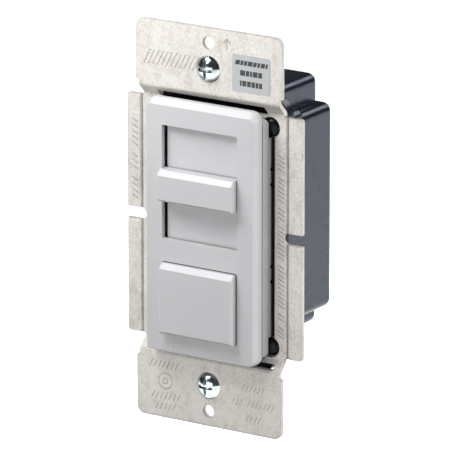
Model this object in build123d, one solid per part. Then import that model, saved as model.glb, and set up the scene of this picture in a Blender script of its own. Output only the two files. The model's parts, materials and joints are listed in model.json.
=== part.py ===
from build123d import *
import math
import os

# Wall-box dimmer with a long-travel slider and a push pad, in millimetres.
# +X is to the viewer's right, +Y goes into the wall, +Z is up.
# The origin is midway between the two wallplate holes, on the front face of the strap's end tabs.

# Strap
STRAP_T = 1.2
STRAP_LENGTH = 104.8
TAB_WIDTH = 43.8
TAB_FOOT_Z = 36.6
TAB_CORNER_R = 2.2
NECK_WIDTH = 42.2
NECK_SHOULDER_Z = 36.2
FOLD_START_Z = 35.0
FOLD_END_Z = 32.2
RECESS_Y = 2.7
FOLD_OUTER_R = 1.6
FOLD_INNER_R = 0.4
FIN_WIDTH = 52.6
FIN_HALF_HEIGHT = 31.6
FIN_CORNER_R = 0.7
SCORE_X = 21.95
SCORE_HALF_WIDTH = 0.45
SCORE_DEPTH = 0.45
SIDE_SLOT_HEIGHT = 3.0
SIDE_SLOT_END_X = 20.6
WALLPLATE_HOLE_SPACING = 96.84
WALLPLATE_HOLE_R = 1.65
BOX_SCREW_SPACING = 83.34
BOX_SCREW_SLOT_LENGTH = 6.0
BOX_SCREW_SLOT_WIDTH = 4.0

# Opening in the middle of the strap
WINDOW_HALF_WIDTH = 18.2
WINDOW_TOP_Z = 25.9
WINDOW_BOTTOM_Z = -26.6
WINDOW_NECK_HALF_WIDTH = 12.9
WINDOW_NECK_TOP_Z = 33.8
WINDOW_NECK_BOTTOM_Z = -34.6
UPPER_SLOT_HALF_WIDTH = 16.0
UPPER_SLOT_HEIGHT = 2.2
LOWER_SLOT_HALF_WIDTH = 19.0
LOWER_SLOT_HEIGHT = 1.4
WINDOW_FIT = 0.15

# Six-32 box screws
SCREW_HEAD_R = 3.55
SCREW_HEAD_H = 1.9
SCREW_NECK_R = 1.45
SCREW_THREAD_R = 1.7
SCREW_THREAD_START_Y = 2.4
SCREW_THREAD_LENGTH = 21.0
SCREW_TIP_CHAMFER = 0.6
DRIVE_SLOT_WIDTH = 0.85
DRIVE_SLOT_DEPTH = 0.95
DRIVE_CROSS_LENGTH = 4.0

# Rating label
LABEL_WIDTH = 11.2
LABEL_HEIGHT = 9.4
LABEL_T = 0.1
LABEL_X = 12.85
LABEL_Z = 42.0
LABEL_CORNER_R = 0.3

# Face frame
FACE_WIDTH = 33.3
FACE_TOP_Z = 33.2
FACE_BOTTOM_Z = -33.4
FACE_CORNER_R = 2.4
FACE_FRONT_CORNER_R = 1.4
FACE_INNER_CORNER_R = 1.0
FACE_TOP_SLOPE = 1.45
FACE_SIDE_SLOPE = 0.65
FACE_BOTTOM_SLOPE = 0.35
FACE_SLOPE_DEPTH = 1.7
FACE_FRONT_Y = -4.2
FACE_PLATE_BACK_Y = -2.9
FACE_BACK_Y = -0.9
FACE_WALL = 1.6
HOOK_HALF_LENGTH = 2.0
HOOK_T = 1.0
HOOK_OUTER_X = 14.7
HOOK_TIP_Y = 1.8
HOOK_Z = (15.5, -10.0)

# Slider opening and its floor
SLIDER_WINDOW_HALF_WIDTH = 11.3
SLIDER_WINDOW_TOP_Z = 26.6
SLIDER_WINDOW_BOTTOM_Z = -3.2
FLOOR_HALF_WIDTH = 10.65
FLOOR_FRONT_Y = -2.5
FLOOR_T = 0.8
FLOOR_TOP_Z = 28.4
FLOOR_BOTTOM_Z = -6.6

# Slider knob, carriage and lever
KNOB_Z = 11.3
KNOB_HALF_WIDTH = 11.15
KNOB_HALF_HEIGHT = 4.05
KNOB_FRONT_Y = -6.9
KNOB_BACK_Y = -2.75
KNOB_TOP_BEVEL = 1.35
KNOB_SIDE_BEVEL = 0.3
KNOB_BOTTOM_BEVEL = 0.5
SOFT_EDGE_R = 0.25
SMALL_CORNER_R = 0.5
LEG_INNER_X = 10.75
LEG_HALF_LENGTH = 3.4
CARRIAGE_FRONT_Y = -1.5
CARRIAGE_BACK_Y = 0.6
SLIDE_UP = 11.0
SLIDE_DOWN = 10.2
LEVER_HALF_T = 0.6
LEVER_HALF_WIDTH = 2.0
LEVER_FIT = 0.05
LEVER_FRONT_Y = -1.3
WIPER_HALF_WIDTH = 3.0
WIPER_HALF_LENGTH = 2.5
WIPER_FRONT_Y = 9.2
WIPER_BACK_Y = 12.3

# Slide potentiometer
POT_Z = 11.75
POT_HALF_WIDTH = 4.6
POT_HALF_LENGTH = 17.0
POT_FRONT_Y = 6.9
POT_WALL = 0.6
POT_TRACK_T = 1.0
POT_SLOT_HALF_WIDTH = 0.9
POT_SLOT_MARGIN = 0.4

# Push pad, plunger and spring
PAD_Z = -18.65
PAD_HALF_WIDTH = 10.95
PAD_HALF_HEIGHT = 9.3
PAD_WINDOW_HALF_WIDTH = 11.25
PAD_WINDOW_HALF_HEIGHT = 9.5
PAD_FRONT_Y = -6.45
PAD_TOP_BEVEL = 1.35
PAD_SIDE_BEVEL = 0.3
PAD_BOTTOM_BEVEL = 0.75
PAD_WALL = 1.35
PAD_FLANGE_FRONT_Y = -2.8
PAD_FLANGE_BACK_Y = -2.0
PAD_FLANGE_LIP = 0.6
PLUNGER_R = 2.0
PLUNGER_TIP_Y = 9.5
SPRING_R = 3.4
SPRING_WIRE_R = 0.35
SPRING_TURNS = 4
SPRING_END_GAP = 0.1

# Push switch
SWITCH_HALF_SIZE = 6.0
SWITCH_FRONT_Y = 7.9
SWITCH_BORE_R = 2.1
SWITCH_BORE_END_Y = 11.4

# Sub-frame behind the face
SUBFRAME_TOP_Z = 30.4
SUBFRAME_BOTTOM_Z = -31.6
SUBFRAME_CORNER_R = 1.2
SUBFRAME_FRONT_Y = -0.4
SUBFRAME_WALL = 1.75
SUBFRAME_EDGE = 0.15
HEAD_CLEARANCE = 0.2
RAIL_STEP = 0.25
RAIL_OVERLAP = 0.6
NOTCH_DEPTH = 1.1
NOTCH_HALF_WIDTH = 0.7
NOTCH_REACH = 0.8
LATCH_HALF_SPACING = 2.0

# Insulating base between strap and housing
BASE_FRONT_Y = 3.5
BASE_BACK_Y = 5.9
BASE_HALF_WIDTH = 20.3
BASE_TOP_Z = 36.0
BASE_BOTTOM_Z = -33.0
BASE_CORNER_R = 6.0
BASE_LIP_HALF_WIDTH = 17.0
BASE_LIP_BOTTOM_Z = -36.2
BASE_LIP_CORNER_R = 3.0
LEVER_SLOT_HALF_WIDTH = 1.6
LEVER_SLOT_MARGIN = 0.6
PLUNGER_CLEARANCE = 0.3

# Housing screws
HOUSING_SCREW_X = 16.9
HOUSING_SCREW_TOP_Z = 28.4
HOUSING_SCREW_BOTTOM_Z = -29.1
HOUSING_SCREW_HEAD_R = 2.45
HOUSING_SCREW_HEAD_H = 1.1
HOUSING_SCREW_SEAT_DEPTH = 0.8
HOUSING_SCREW_SEAT_R = 2.75
HOUSING_SCREW_SHANK_R = 1.45
HOUSING_SCREW_HOLE_R = 1.6
HOUSING_SCREW_TIP_Y = 12.4
BOSS_R = 3.0
BOSS_END_Y = 13.0

# Rear housing
HOUSING_BACK_Y = 26.8
HOUSING_WALL = 1.6
HOUSING_FLANGE_T = 2.5
WIDE_HALF_WIDTH = 20.3
WIDE_TOP_Z = 30.3
WIDE_BOTTOM_Z = -23.8
NARROW_HALF_WIDTH = 15.8
NARROW_TOP_Z = 37.3
NARROW_BOTTOM_Z = -28.7
HOUSING_EDGE_R = 2.4
HOUSING_INNER_EDGE_R = 1.0
HOUSING_BACK_EDGE_R = 1.8

# Leads leave through slots in a soft grommet in the back wall
GROMMET_HALF_WIDTH = 10.0
GROMMET_HALF_HEIGHT = 2.6
GROMMET_Z = 25.0
GROMMET_LIP = 0.8
LEAD_SLOT_LENGTH = 4.0
LEAD_SLOT_WIDTH = 2.4
LEAD_SLOT_PITCH = 4.6
GROMMET_CORNER_R = 2.0
HOLE_SPARE = 0.2

# Circuit board and what stands on it
BOARD_FRONT_Y = 13.4
BOARD_T = 1.6
BOARD_HALF_WIDTH = 13.8
BOARD_TOP_Z = 34.0
BOARD_BOTTOM_Z = -25.6
BOARD_SCREW_X = 11.4
BOARD_SCREW_TOP_Z = 31.6
BOARD_SCREW_BOTTOM_Z = -23.2
BOARD_SCREW_R = 0.9
BOARD_SCREW_HOLE_R = 1.0
BOARD_SCREW_HEAD_R = 1.8
BOARD_SCREW_HEAD_H = 1.2
BOARD_SCREW_LENGTH = 7.0
STANDOFF_R = 2.2
BOARD_BACK_Y = BOARD_FRONT_Y + BOARD_T
RELAY_X = (-12.6, 2.4)
RELAY_Z = (-18.5, 0.5)
RELAY_H = 8.0
FILM_CAPACITOR_X = (5.6, 12.6)
FILM_CAPACITOR_Z = (-17.5, -3.5)
FILM_CAPACITOR_H = 7.6
COMPONENT_EDGE_R = 0.5
CHOKE_X = 5.0
CHOKE_Y = 18.3
CHOKE_Z = 13.0
CHOKE_OUTER_R = 6.0
CHOKE_INNER_R = 3.4
CHOKE_H = 4.2
WINDING_T = 0.8
WINDING_ANGLE = 300
CAN_X = (-10.8, -4.9)
CAN_R = 2.9
CAN_Y = 18.2
CAN_Z = 3.5
CAN_LENGTH = 12.0
RESISTOR_PLACES = ((-7.0, 22.2), (-3.8, 22.2), (9.6, 20.6), (6.4, 20.6))
RESISTOR_R = 1.2
RESISTOR_LENGTH = 6.4
CHIP_X = (-11.6, -6.6)
CHIP_Z = (-11.0, -1.5)
CHIP_H = 2.0
FUSE_X = 9.5
FUSE_R = 1.8
FUSE_Z = -8.0
FUSE_LENGTH = 14.0
TRANSISTOR_X = (6.2, 11.8)
TRANSISTOR_Z = (10.0, 20.5)
TRANSISTOR_H = 4.2


def wall_plane(y):
    """The plane at depth y whose first axis is X and second axis is Z."""
    return Plane.XZ.offset(-y)


def slab(profile, y_front, y_back):
    """A flat profile in X and Z, made solid from y_front to y_back."""
    return extrude(wall_plane(y_front) * profile, amount=y_front - y_back)


def rect(x_low, x_high, z_low, z_high):
    """A rectangle in X and Z from its limits."""
    centre = Pos((x_low + x_high) / 2, (z_low + z_high) / 2)
    return centre * Rectangle(x_high - x_low, z_high - z_low)


def rounded(half_width, z_low, z_high, radius):
    """A rectangle with round corners, centred on X = 0."""
    return Pos(0, (z_low + z_high) / 2) * RectangleRounded(2 * half_width, z_high - z_low, radius)


def disc(x, z, radius):
    """A disc in X and Z."""
    return Pos(x, z) * Circle(radius)


def rod(x, z, radius, y_front, y_back):
    """A round bar along Y."""
    return slab(disc(x, z, radius), y_front, y_back)


def block(x_low, x_high, y_low, y_high, z_low, z_high):
    """A plain block from its limits."""
    return slab(rect(x_low, x_high, z_low, z_high), y_low, y_high)


def housing_screw_places():
    """The four places where the housing is screwed to the strap."""
    for z in (HOUSING_SCREW_TOP_Z, HOUSING_SCREW_BOTTOM_Z):
        for x in (-HOUSING_SCREW_X, HOUSING_SCREW_X):
            yield x, z


def board_screw_places():
    """The four corners where the circuit board is screwed down."""
    for z in (BOARD_SCREW_TOP_Z, BOARD_SCREW_BOTTOM_Z):
        for x in (-BOARD_SCREW_X, BOARD_SCREW_X):
            yield x, z


def near(shape, *targets, reach=0.01):
    """The vertices of a flat shape that lie at the given points."""
    return [v for v in shape.vertices() if any((v.center() - Vector(*t)).length < reach for t in targets)]


# ---------------------------------------------------------------- strap

def folded_sheet():
    """The strap seen from the side: both end tabs forward, the middle set back."""
    top = STRAP_LENGTH / 2
    fold_angle = math.atan2(RECESS_Y, FOLD_START_Z - FOLD_END_Z)
    mitre = STRAP_T * math.tan(fold_angle / 2)
    front = [(0, top), (0, FOLD_START_Z), (RECESS_Y, FOLD_END_Z)]
    back = [
        (RECESS_Y + STRAP_T, FOLD_END_Z + mitre),
        (STRAP_T, FOLD_START_Z + mitre),
        (STRAP_T, top),
    ]
    lower_front = [(y, -z) for y, z in reversed(front)]
    lower_back = [(y, -z) for y, z in reversed(back)]
    sheet = Plane.YZ * Polygon(*front, *lower_front, *lower_back, *back, align=None)
    outer = [(0, *front[1]), (0, *back[0])]
    inner = [(0, *front[2]), (0, *back[1])]
    outer += [(x, y, -z) for x, y, z in outer]
    inner += [(x, y, -z) for x, y, z in inner]
    sheet = fillet(near(sheet, *outer), FOLD_OUTER_R)
    sheet = fillet(near(sheet, *inner), FOLD_INNER_R)
    return extrude(sheet, amount=FIN_WIDTH / 2 + 1, both=True)


def strap_outline():
    """The strap's cut shape seen from the front."""
    half_tab = TAB_WIDTH / 2
    half_neck = NECK_WIDTH / 2
    half_length = STRAP_LENGTH / 2
    tab = Polygon(
        (-half_tab, half_length), (-half_tab, TAB_FOOT_Z), (-half_neck, NECK_SHOULDER_Z),
        (half_neck, NECK_SHOULDER_Z), (half_tab, TAB_FOOT_Z), (half_tab, half_length),
        align=None,
    )
    tab = fillet(near(tab, (-half_tab, half_length), (half_tab, half_length)), TAB_CORNER_R)
    neck = Rectangle(NECK_WIDTH, 2 * NECK_SHOULDER_Z)
    fins = RectangleRounded(FIN_WIDTH, 2 * FIN_HALF_HEIGHT, FIN_CORNER_R)
    return tab + mirror(tab, about=Plane.XZ) + neck + fins


def strap_openings():
    """The window, the side slots and every hole in the strap."""
    cuts = strap_window(0)
    for side in (-1, 1):
        slot_length = FIN_WIDTH / 2 - SIDE_SLOT_END_X + SIDE_SLOT_HEIGHT
        slot_x = side * (SIDE_SLOT_END_X + slot_length / 2)
        cuts += Pos(slot_x, 0) * SlotOverall(slot_length, SIDE_SLOT_HEIGHT)
        cuts += disc(0, side * WALLPLATE_HOLE_SPACING / 2, WALLPLATE_HOLE_R)
        screw_slot = SlotOverall(BOX_SCREW_SLOT_LENGTH, BOX_SCREW_SLOT_WIDTH)
        cuts += Pos(0, side * BOX_SCREW_SPACING / 2) * screw_slot
    for x, z in housing_screw_places():
        cuts += disc(x, z, HOUSING_SCREW_HOLE_R)
    return cuts


def strap_window(gap):
    """The window's shape, made smaller all round by gap."""
    middle = rect(
        -WINDOW_HALF_WIDTH + gap, WINDOW_HALF_WIDTH - gap,
        WINDOW_BOTTOM_Z + gap, WINDOW_TOP_Z - gap,
    )
    neck = rect(
        -WINDOW_NECK_HALF_WIDTH + gap, WINDOW_NECK_HALF_WIDTH - gap,
        WINDOW_NECK_BOTTOM_Z + gap, WINDOW_NECK_TOP_Z - gap,
    )
    upper_slot = rect(
        -UPPER_SLOT_HALF_WIDTH + gap, UPPER_SLOT_HALF_WIDTH - gap,
        WINDOW_NECK_TOP_Z - UPPER_SLOT_HEIGHT + gap, WINDOW_NECK_TOP_Z - gap,
    )
    lower_slot = rect(
        -LOWER_SLOT_HALF_WIDTH + gap, LOWER_SLOT_HALF_WIDTH - gap,
        WINDOW_NECK_BOTTOM_Z + gap, WINDOW_NECK_BOTTOM_Z + LOWER_SLOT_HEIGHT - gap,
    )
    return middle + neck + upper_slot + lower_slot


def score_line(side):
    """The V-shaped groove along which a side fin snaps off."""
    y = RECESS_Y
    x = side * SCORE_X
    groove = Plane.XY * Polygon(
        (x - SCORE_HALF_WIDTH, y), (x, y + SCORE_DEPTH), (x + SCORE_HALF_WIDTH, y),
        align=None,
    )
    return extrude(groove, amount=FIN_HALF_HEIGHT + 1, both=True)


def make_mounting_strap():
    blank = slab(strap_outline() - strap_openings(), -1, RECESS_Y + STRAP_T + 1)
    strap = folded_sheet() & blank - score_line(-1) - score_line(1)
    for x, z in housing_screw_places():
        strap -= rod(x, z, HOUSING_SCREW_SEAT_R, RECESS_Y, RECESS_Y + HOUSING_SCREW_SEAT_DEPTH)
    return strap


def make_rating_label():
    label = Pos(LABEL_X, LABEL_Z) * RectangleRounded(LABEL_WIDTH, LABEL_HEIGHT, LABEL_CORNER_R)
    return slab(label, -LABEL_T, 0)


# ---------------------------------------------------------------- screws

def make_box_screw(z):
    """A pan-head screw with a slot and a cross, on its axis at height z."""
    sphere_r = (SCREW_HEAD_R ** 2 + SCREW_HEAD_H ** 2) / (2 * SCREW_HEAD_H)
    ball = Pos(0, sphere_r - SCREW_HEAD_H, z) * Sphere(sphere_r)
    head = rod(0, z, SCREW_HEAD_R, -SCREW_HEAD_H - 1, 0) & ball
    neck = rod(0, z, SCREW_NECK_R, 0, SCREW_THREAD_START_Y)
    thread_end = SCREW_THREAD_START_Y + SCREW_THREAD_LENGTH
    thread = rod(0, z, SCREW_THREAD_R, SCREW_THREAD_START_Y, thread_end)
    tip = rod(0, z, SCREW_THREAD_R, thread_end, thread_end + SCREW_TIP_CHAMFER)
    tip = chamfer(tip.edges().sort_by(Axis.Y)[-1], SCREW_TIP_CHAMFER * 0.9)
    floor_y = -SCREW_HEAD_H + DRIVE_SLOT_DEPTH
    half_slot = DRIVE_SLOT_WIDTH / 2
    half_cross = DRIVE_CROSS_LENGTH / 2
    slot = rect(-half_slot, half_slot, z - SCREW_HEAD_R, z + SCREW_HEAD_R)
    cross = rect(-half_cross, half_cross, z - half_slot, z + half_slot)
    recess = slab(slot + cross, -SCREW_HEAD_H - 1, floor_y)
    return head + neck + thread + tip - recess


def make_housing_screws():
    screws = []
    seat_y = RECESS_Y + HOUSING_SCREW_SEAT_DEPTH
    sphere_r = (HOUSING_SCREW_HEAD_R ** 2 + HOUSING_SCREW_HEAD_H ** 2) / (2 * HOUSING_SCREW_HEAD_H)
    for x, z in housing_screw_places():
        ball = Pos(x, seat_y + sphere_r - HOUSING_SCREW_HEAD_H, z) * Sphere(sphere_r)
        head = rod(x, z, HOUSING_SCREW_HEAD_R, seat_y - HOUSING_SCREW_HEAD_H - 1, seat_y) & ball
        screws.append(head + rod(x, z, HOUSING_SCREW_SHANK_R, seat_y, HOUSING_SCREW_TIP_Y))
    return Compound(children=screws)


# ---------------------------------------------------------------- front trim

def make_face_frame():
    half_width = FACE_WIDTH / 2
    slope_back_y = FACE_FRONT_Y + FACE_SLOPE_DEPTH
    outline = rounded(half_width, FACE_BOTTOM_Z, FACE_TOP_Z, FACE_CORNER_R)
    front = rounded(
        half_width - FACE_SIDE_SLOPE, FACE_BOTTOM_Z + FACE_BOTTOM_SLOPE,
        FACE_TOP_Z - FACE_TOP_SLOPE, FACE_FRONT_CORNER_R)
    slope = loft([wall_plane(FACE_FRONT_Y) * front, wall_plane(slope_back_y) * outline], ruled=True)
    slope = fillet(slope.faces().sort_by(Axis.Y)[0].edges(), SOFT_EDGE_R)
    shell = slope + slab(outline, slope_back_y, FACE_BACK_Y)
    inside = rounded(
        half_width - FACE_WALL, FACE_BOTTOM_Z + FACE_WALL, FACE_TOP_Z - FACE_WALL, FACE_INNER_CORNER_R)
    shell -= slab(inside, FACE_PLATE_BACK_Y, FACE_BACK_Y)
    slider_window = rounded(
        SLIDER_WINDOW_HALF_WIDTH, SLIDER_WINDOW_BOTTOM_Z, SLIDER_WINDOW_TOP_Z, SMALL_CORNER_R)
    pad_low = PAD_Z - PAD_WINDOW_HALF_HEIGHT
    pad_high = PAD_Z + PAD_WINDOW_HALF_HEIGHT
    pad_window = rounded(PAD_WINDOW_HALF_WIDTH, pad_low, pad_high, SMALL_CORNER_R)
    shell -= slab(slider_window + pad_window, FACE_FRONT_Y, FACE_PLATE_BACK_Y)
    for side in (-1, 1):
        for z in HOOK_Z:
            x_limits = sorted((side * (HOOK_OUTER_X - HOOK_T), side * HOOK_OUTER_X))
            z_limits = (z - HOOK_HALF_LENGTH, z + HOOK_HALF_LENGTH)
            shell += block(*x_limits, FACE_PLATE_BACK_Y, HOOK_TIP_Y, *z_limits)
    return shell


def latch_notch(side, z):
    """A small V cut in the rear edge of the sub-frame's side rail."""
    outer_x = FACE_WIDTH / 2 + RAIL_STEP
    tip = (BASE_FRONT_Y - NOTCH_DEPTH, z)
    triangle = Polygon(
        (BASE_FRONT_Y, z - NOTCH_HALF_WIDTH), (BASE_FRONT_Y, z + NOTCH_HALF_WIDTH), tip, align=None)
    cut = extrude(Plane.YZ * triangle, amount=NOTCH_REACH)
    return Pos(outer_x - NOTCH_REACH if side > 0 else -outer_x, 0, 0) * cut


def make_subframe():
    outer = rounded(FACE_WIDTH / 2, SUBFRAME_BOTTOM_Z, SUBFRAME_TOP_Z, SUBFRAME_CORNER_R)
    inner = rounded(
        FACE_WIDTH / 2 - SUBFRAME_WALL, SUBFRAME_BOTTOM_Z + SUBFRAME_WALL,
        SUBFRAME_TOP_Z - SUBFRAME_WALL, SMALL_CORNER_R)
    ring = slab(outer, SUBFRAME_FRONT_Y, RECESS_Y)
    ring = chamfer(ring.faces().sort_by(Axis.Y)[0].edges(), SUBFRAME_EDGE)
    ring -= slab(inner, SUBFRAME_FRONT_Y, RECESS_Y)
    pocket_front = RECESS_Y + HOUSING_SCREW_SEAT_DEPTH - HOUSING_SCREW_HEAD_H - HEAD_CLEARANCE
    for x, z in housing_screw_places():
        ring -= rod(x, z, HOUSING_SCREW_HEAD_R + HEAD_CLEARANCE, pocket_front, RECESS_Y)
    rail_z = (WINDOW_BOTTOM_Z + WINDOW_FIT, WINDOW_TOP_Z - WINDOW_FIT)
    rail_front = RECESS_Y - RAIL_OVERLAP
    for side in (-1, 1):
        x_limits = sorted((side * (FACE_WIDTH / 2 - SUBFRAME_WALL), side * (FACE_WIDTH / 2 + RAIL_STEP)))
        ring += block(*x_limits, rail_front, BASE_FRONT_Y, *rail_z)
        for z in HOOK_Z:
            for end in (-1, 1):
                ring -= latch_notch(side, z + end * LATCH_HALF_SPACING)
    return ring


def make_slider_floor():
    floor_back = FLOOR_FRONT_Y + FLOOR_T
    x_limits = (-FLOOR_HALF_WIDTH, FLOOR_HALF_WIDTH)
    floor = block(*x_limits, FLOOR_FRONT_Y, floor_back, FLOOR_BOTTOM_Z, FLOOR_TOP_Z)
    floor += block(*x_limits, floor_back, BASE_FRONT_Y, FLOOR_TOP_Z - FLOOR_T, FLOOR_TOP_Z)
    return floor + block(*x_limits, floor_back, BASE_FRONT_Y, FLOOR_BOTTOM_Z, FLOOR_BOTTOM_Z + FLOOR_T)


# ---------------------------------------------------------------- slider

def bevelled_cap(half_width, half_height, front_y, back_y, bevel_side, bevel_top, bevel_bottom):
    """A raised bar with sloping front edges, centred on the origin in X and Z."""
    step_y = front_y + max(bevel_side, bevel_top, bevel_bottom)
    side_view = Polygon(
        (front_y, half_height - bevel_top), (front_y + bevel_top, half_height),
        (back_y, half_height), (back_y, -half_height),
        (front_y + bevel_bottom, -half_height), (front_y, bevel_bottom - half_height),
        align=None,
    )
    bar = extrude(Plane.YZ * side_view, amount=half_width, both=True)
    plan = Polygon(
        (-half_width, step_y), (-half_width, front_y + bevel_side),
        (bevel_side - half_width, front_y), (half_width - bevel_side, front_y),
        (half_width, front_y + bevel_side), (half_width, step_y),
        (half_width, back_y), (-half_width, back_y),
        align=None,
    )
    bar &= extrude(Plane.XY * plan, amount=half_height, both=True)
    front = bar.edges().filter_by_position(Axis.Y, front_y - 1, step_y + SOFT_EDGE_R)
    return fillet(front, SOFT_EDGE_R)


def make_slider_knob():
    knob = bevelled_cap(
        KNOB_HALF_WIDTH, KNOB_HALF_HEIGHT, KNOB_FRONT_Y, KNOB_BACK_Y,
        KNOB_SIDE_BEVEL, KNOB_TOP_BEVEL, KNOB_BOTTOM_BEVEL)
    knob = Pos(0, 0, KNOB_Z) * knob
    for side in (-1, 1):
        x_limits = sorted((side * LEG_INNER_X, side * KNOB_HALF_WIDTH))
        z_limits = (KNOB_Z - LEG_HALF_LENGTH, KNOB_Z + LEG_HALF_LENGTH)
        knob += block(*x_limits, KNOB_BACK_Y, CARRIAGE_BACK_Y, *z_limits)
    return knob


def make_slider_carriage():
    bridge = block(
        -LEG_INNER_X, LEG_INNER_X, CARRIAGE_FRONT_Y, CARRIAGE_BACK_Y,
        KNOB_Z - LEG_HALF_LENGTH, KNOB_Z + LEG_HALF_LENGTH)
    half_slot = LEVER_HALF_T + LEVER_FIT
    half_length = LEVER_HALF_WIDTH + LEVER_FIT
    slot = rect(-half_slot, half_slot, KNOB_Z - half_length, KNOB_Z + half_length)
    return bridge - slab(slot, CARRIAGE_FRONT_Y, CARRIAGE_BACK_Y)


def make_potentiometer_lever():
    return block(
        -LEVER_HALF_T, LEVER_HALF_T, LEVER_FRONT_Y, WIPER_FRONT_Y,
        KNOB_Z - LEVER_HALF_WIDTH, KNOB_Z + LEVER_HALF_WIDTH)


def make_potentiometer_wiper():
    return block(
        -WIPER_HALF_WIDTH, WIPER_HALF_WIDTH, WIPER_FRONT_Y, WIPER_BACK_Y,
        KNOB_Z - WIPER_HALF_LENGTH, KNOB_Z + WIPER_HALF_LENGTH)


def lever_travel(half_width, margin):
    """The strip in X and Z that the lever sweeps, with room round it."""
    reach = LEVER_HALF_WIDTH + margin
    return rect(-half_width, half_width, KNOB_Z - SLIDE_DOWN - reach, KNOB_Z + SLIDE_UP + reach)


def make_potentiometer_case():
    inner_width = POT_HALF_WIDTH - POT_WALL
    inner_length = POT_HALF_LENGTH - POT_WALL
    outer = rect(-POT_HALF_WIDTH, POT_HALF_WIDTH, POT_Z - POT_HALF_LENGTH, POT_Z + POT_HALF_LENGTH)
    inner = rect(-inner_width, inner_width, POT_Z - inner_length, POT_Z + inner_length)
    case = slab(outer, POT_FRONT_Y, BOARD_FRONT_Y)
    case -= slab(inner, POT_FRONT_Y + POT_WALL, BOARD_FRONT_Y)
    slot = lever_travel(POT_SLOT_HALF_WIDTH, POT_SLOT_MARGIN)
    return case - slab(slot, POT_FRONT_Y, POT_FRONT_Y + POT_WALL)


def make_potentiometer_track():
    inner_width = POT_HALF_WIDTH - POT_WALL
    inner_length = POT_HALF_LENGTH - POT_WALL
    track = rect(-inner_width, inner_width, POT_Z - inner_length, POT_Z + inner_length)
    return slab(track, BOARD_FRONT_Y - POT_TRACK_T, BOARD_FRONT_Y)


# ---------------------------------------------------------------- push pad

def make_switch_pad():
    pad = bevelled_cap(
        PAD_HALF_WIDTH, PAD_HALF_HEIGHT, PAD_FRONT_Y, PAD_FLANGE_BACK_Y,
        PAD_SIDE_BEVEL, PAD_TOP_BEVEL, PAD_BOTTOM_BEVEL)
    pad = Pos(0, 0, PAD_Z) * pad
    half_width = PAD_HALF_WIDTH + PAD_FLANGE_LIP
    half_height = PAD_HALF_HEIGHT + PAD_FLANGE_LIP
    flange = rounded(half_width, PAD_Z - half_height, PAD_Z + half_height, SMALL_CORNER_R)
    pad += slab(flange, PAD_FLANGE_FRONT_Y, PAD_FLANGE_BACK_Y)
    inner_width = PAD_HALF_WIDTH - PAD_WALL
    inner_height = PAD_HALF_HEIGHT - PAD_WALL
    hollow = rounded(inner_width, PAD_Z - inner_height, PAD_Z + inner_height, SMALL_CORNER_R)
    return pad - slab(hollow, PAD_FRONT_Y + PAD_WALL, PAD_FLANGE_BACK_Y)


def make_switch_plunger():
    return rod(0, PAD_Z, PLUNGER_R, PAD_FRONT_Y + PAD_WALL, PLUNGER_TIP_Y)


def make_pad_spring():
    """A coil spring round the plunger, between the base and the pad."""
    start_y = PAD_FRONT_Y + PAD_WALL + SPRING_WIRE_R + SPRING_END_GAP
    end_y = BASE_FRONT_Y - SPRING_WIRE_R - SPRING_END_GAP
    height = end_y - start_y
    path = Helix(pitch=height / SPRING_TURNS, height=height, radius=SPRING_R)
    section = Plane(origin=path @ 0, z_dir=path % 0) * Circle(SPRING_WIRE_R)
    coil = sweep(section, path=path, is_frenet=True)
    return Pos(0, start_y, PAD_Z) * Rot(-90, 0, 0) * coil


def make_switch_body():
    size = SWITCH_HALF_SIZE
    outline = rounded(size, PAD_Z - size, PAD_Z + size, SMALL_CORNER_R)
    body = slab(outline, SWITCH_FRONT_Y, BOARD_FRONT_Y)
    return body - rod(0, PAD_Z, SWITCH_BORE_R, SWITCH_FRONT_Y, SWITCH_BORE_END_Y)


# ---------------------------------------------------------------- base and housing

def make_insulating_base():
    flange = rounded(BASE_HALF_WIDTH, BASE_BOTTOM_Z, BASE_TOP_Z, BASE_CORNER_R)
    lip = rounded(BASE_LIP_HALF_WIDTH, BASE_LIP_BOTTOM_Z, 0, BASE_LIP_CORNER_R)
    base = slab(flange + lip, RECESS_Y + STRAP_T, BASE_BACK_Y)
    raised = strap_window(WINDOW_FIT) & rect(
        -WINDOW_HALF_WIDTH, WINDOW_HALF_WIDTH, -FOLD_END_Z, FOLD_END_Z)
    base += slab(raised, BASE_FRONT_Y, RECESS_Y + STRAP_T)
    base -= slab(lever_travel(LEVER_SLOT_HALF_WIDTH, LEVER_SLOT_MARGIN), BASE_FRONT_Y, BASE_BACK_Y)
    base -= rod(0, PAD_Z, PLUNGER_R + PLUNGER_CLEARANCE, BASE_FRONT_Y, BASE_BACK_Y)
    for x, z in housing_screw_places():
        base -= rod(x, z, HOUSING_SCREW_HOLE_R, BASE_FRONT_Y, BASE_BACK_Y)
    return base


def housing_shell():
    """The housing's outside: flange, wide middle and narrower ends."""
    flange = slab(
        rounded(BASE_HALF_WIDTH, BASE_BOTTOM_Z, BASE_TOP_Z, BASE_CORNER_R),
        BASE_BACK_Y, BASE_BACK_Y + HOUSING_FLANGE_T)
    wide = rounded(WIDE_HALF_WIDTH, WIDE_BOTTOM_Z, WIDE_TOP_Z, HOUSING_EDGE_R)
    narrow = rounded(NARROW_HALF_WIDTH, NARROW_BOTTOM_Z, NARROW_TOP_Z, HOUSING_EDGE_R)
    body = slab(wide + narrow, BASE_BACK_Y, HOUSING_BACK_Y)
    body = fillet(body.faces().sort_by(Axis.Y)[-1].edges(), HOUSING_BACK_EDGE_R)
    return body + flange


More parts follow.
